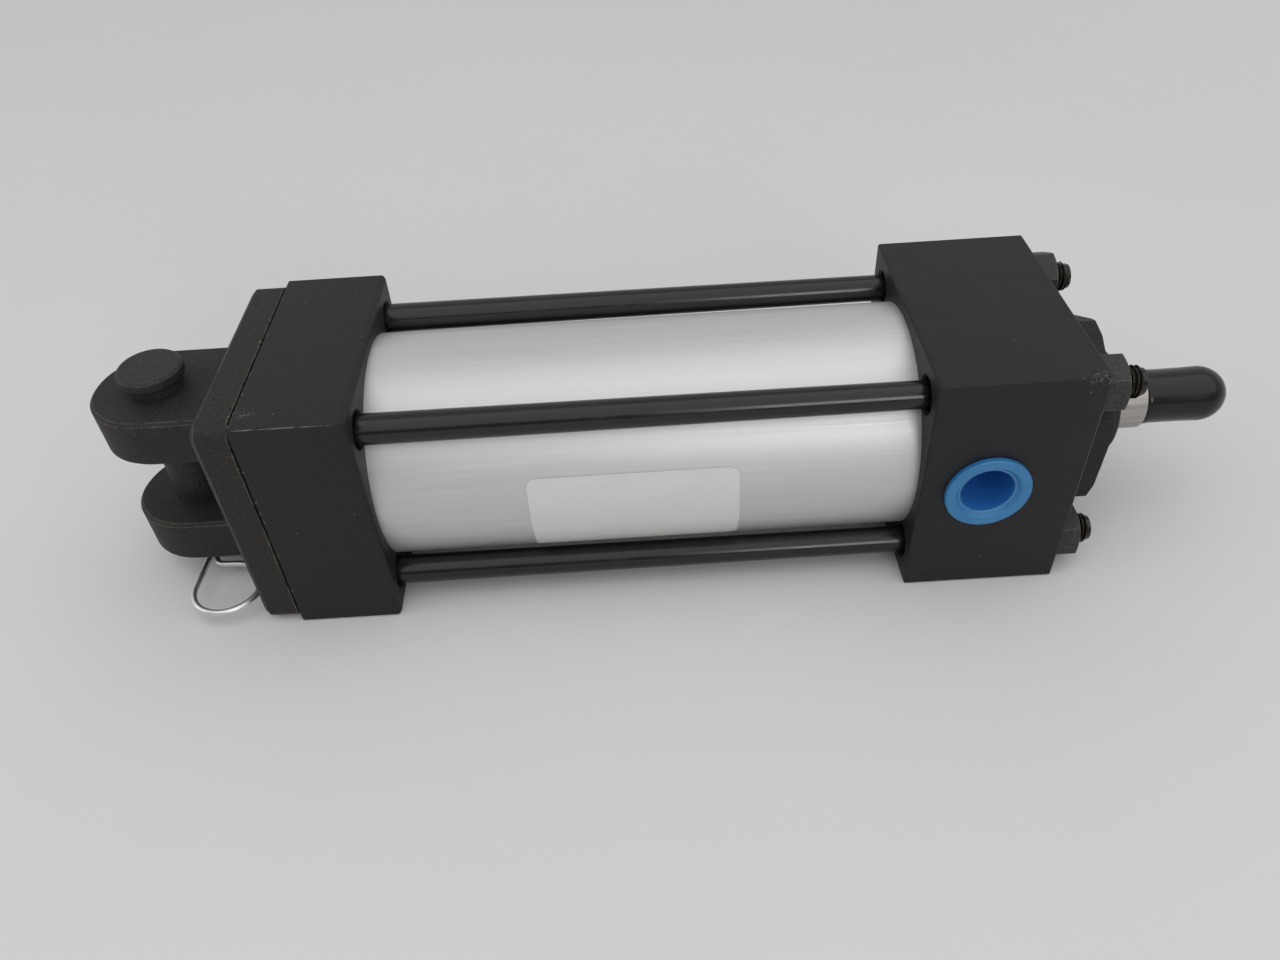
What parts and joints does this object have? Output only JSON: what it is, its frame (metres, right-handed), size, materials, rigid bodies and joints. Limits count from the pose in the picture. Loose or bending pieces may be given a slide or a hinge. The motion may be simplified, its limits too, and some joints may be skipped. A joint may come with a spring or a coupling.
{
  "type": "pneumatic cylinder",
  "caption": "Double-acting tie-rod air cylinder with square end blocks, a rear clevis with pin and spring clip, plugged ports and a covered rod-end thread.",
  "frame": {"origin": "where the clevis pin's axis crosses the cylinder's axis", "axes": "+X along the cylinder to the rod end, +Z along the clevis pin to its head, -Y to the side with the rod-end port"},
  "size_m": [0.2868, 0.0664, 0.0634],
  "materials": {
    "black_anodised": "satin black anodised",
    "clear_anodised": "satin, fine drawn lines along the length",
    "black_oxide_steel": "black oxide, fine grained",
    "bright_rod_steel": "ground and hard chromed",
    "piston_aluminium": "machined",
    "plain_steel": "machined",
    "bronze": "sintered, oiled",
    "seal_rubber": "matt moulded",
    "band_plastic": "matt filled plastic",
    "blue_plastic": "soft sheen moulded",
    "black_vinyl": "dipped, glossy",
    "zinc_wire": "bright zinc plated wire"
  },
  "bodies": {
    "cylinder": {"rod_end_head": "black_anodised", "rear_cap": "black_anodised", "barrel_tube": "clear_anodised", "tie_rods": "black_oxide_steel", "tie_rod_nuts": "black_oxide_steel", "clevis_mount": "black_oxide_steel", "rod_gland": "black_oxide_steel", "rod_bushing": "bronze", "rod_seal": "seal_rubber", "rod_wiper": "seal_rubber", "gland_o_ring": "seal_rubber", "head_tube_seal": "seal_rubber", "cap_tube_seal": "seal_rubber"},
    "piston_pack": {"piston_seals": "seal_rubber", "wear_band": "band_plastic"},
    "rod": {"piston": "piston_aluminium", "piston_rod": "bright_rod_steel", "piston_nut": "plain_steel", "piston_o_ring": "seal_rubber"},
    "thread_cover": {"rod_thread_cover": "black_vinyl"},
    "head_plug": {"head_port_plug": "blue_plastic"},
    "cap_plug": {"cap_port_plug": "blue_plastic"},
    "pin": {"clevis_pin": "black_oxide_steel"},
    "clip": {"pin_clip": "zinc_wire"}
  },
  "joints": [
    {"name": "rod_slide", "type": "slide", "parent": "cylinder", "child": "piston_pack", "axis": [1, 0, 0], "range_m": [0, 0.1016]},
    {"name": "rod_turn", "type": "hinge", "parent": "piston_pack", "child": "rod", "pos_m": [0, 0, 0], "axis": [1, 0, 0], "continuous": true},
    {"name": "thread_cover_pull", "type": "slide", "parent": "rod", "child": "thread_cover", "axis": [1, 0, 0], "range_m": [0, 0.03]},
    {"name": "head_plug_pull", "type": "slide", "parent": "cylinder", "child": "head_plug", "axis": [0, -1, 0], "range_m": [0, 0.02]},
    {"name": "cap_plug_pull", "type": "slide", "parent": "cylinder", "child": "cap_plug", "axis": [0, 1, 0], "range_m": [0, 0.02]},
    {"name": "pin_turn", "type": "hinge", "parent": "cylinder", "child": "pin", "pos_m": [0, 0, 0], "axis": [0, 0, 1], "range_deg": [-221, 4]},
    {"name": "clip_pull", "type": "slide", "parent": "pin", "child": "clip", "axis": [-0.0523, -0.9986, 0], "range_m": [0, 0.03]}
  ]
}
